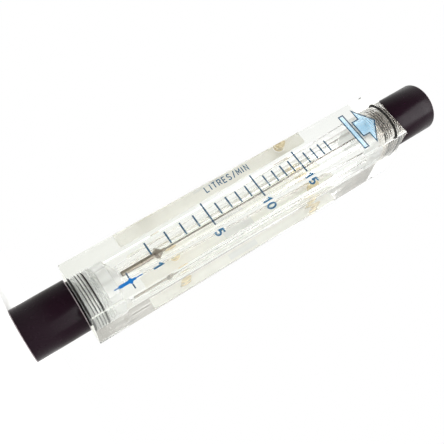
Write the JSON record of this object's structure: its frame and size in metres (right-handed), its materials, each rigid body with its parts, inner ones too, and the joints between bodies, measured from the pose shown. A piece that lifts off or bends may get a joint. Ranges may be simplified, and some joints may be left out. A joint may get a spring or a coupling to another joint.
{
  "type": "in-line rotameter",
  "caption": "In-line flow meter: clear acrylic block with a tapered bore, a float on a guide rod, dark threaded end adaptors and a backing sheet.",
  "frame": {"origin": "centre of the inlet port's mouth, at the bottom of the meter", "axes": "+Z along the bore from inlet to outlet, up as the meter is used; the scale faces -Y; +X is to the reader's right; +Y points out of the mounting face"},
  "size_m": [0.038, 0.05, 0.302],
  "materials": {
    "clear_acrylic": "clear, polished faces",
    "dark_pvc": "turned, satin, dark purple-grey",
    "black_seal": "smooth black rubber",
    "bright_steel": "drawn and turned stainless steel",
    "float_steel": "turned stainless steel",
    "insert_brass": "turned brass",
    "cream_sheet": "matt cream sheet",
    "grey_label": "matt grey label"
  },
  "bodies": {
    "meter": {"meter_block": "clear_acrylic", "inlet_adaptor": "dark_pvc", "outlet_adaptor": "dark_pvc", "inlet_o_ring": "black_seal", "outlet_o_ring": "black_seal", "inlet_rod_support": "bright_steel", "outlet_rod_support": "bright_steel", "guide_rod": "bright_steel", "backing_sheet": "cream_sheet", "back_label": "grey_label", "lower_mounting_insert": "insert_brass", "upper_left_mounting_insert": "insert_brass", "upper_right_mounting_insert": "insert_brass"},
    "float": {"float": "float_steel"}
  },
  "joints": [
    {"name": "float_slide", "type": "slide", "parent": "meter", "child": "float", "axis": [0, 0, 1], "range_m": [-0.0186, 0.1636]}
  ]
}
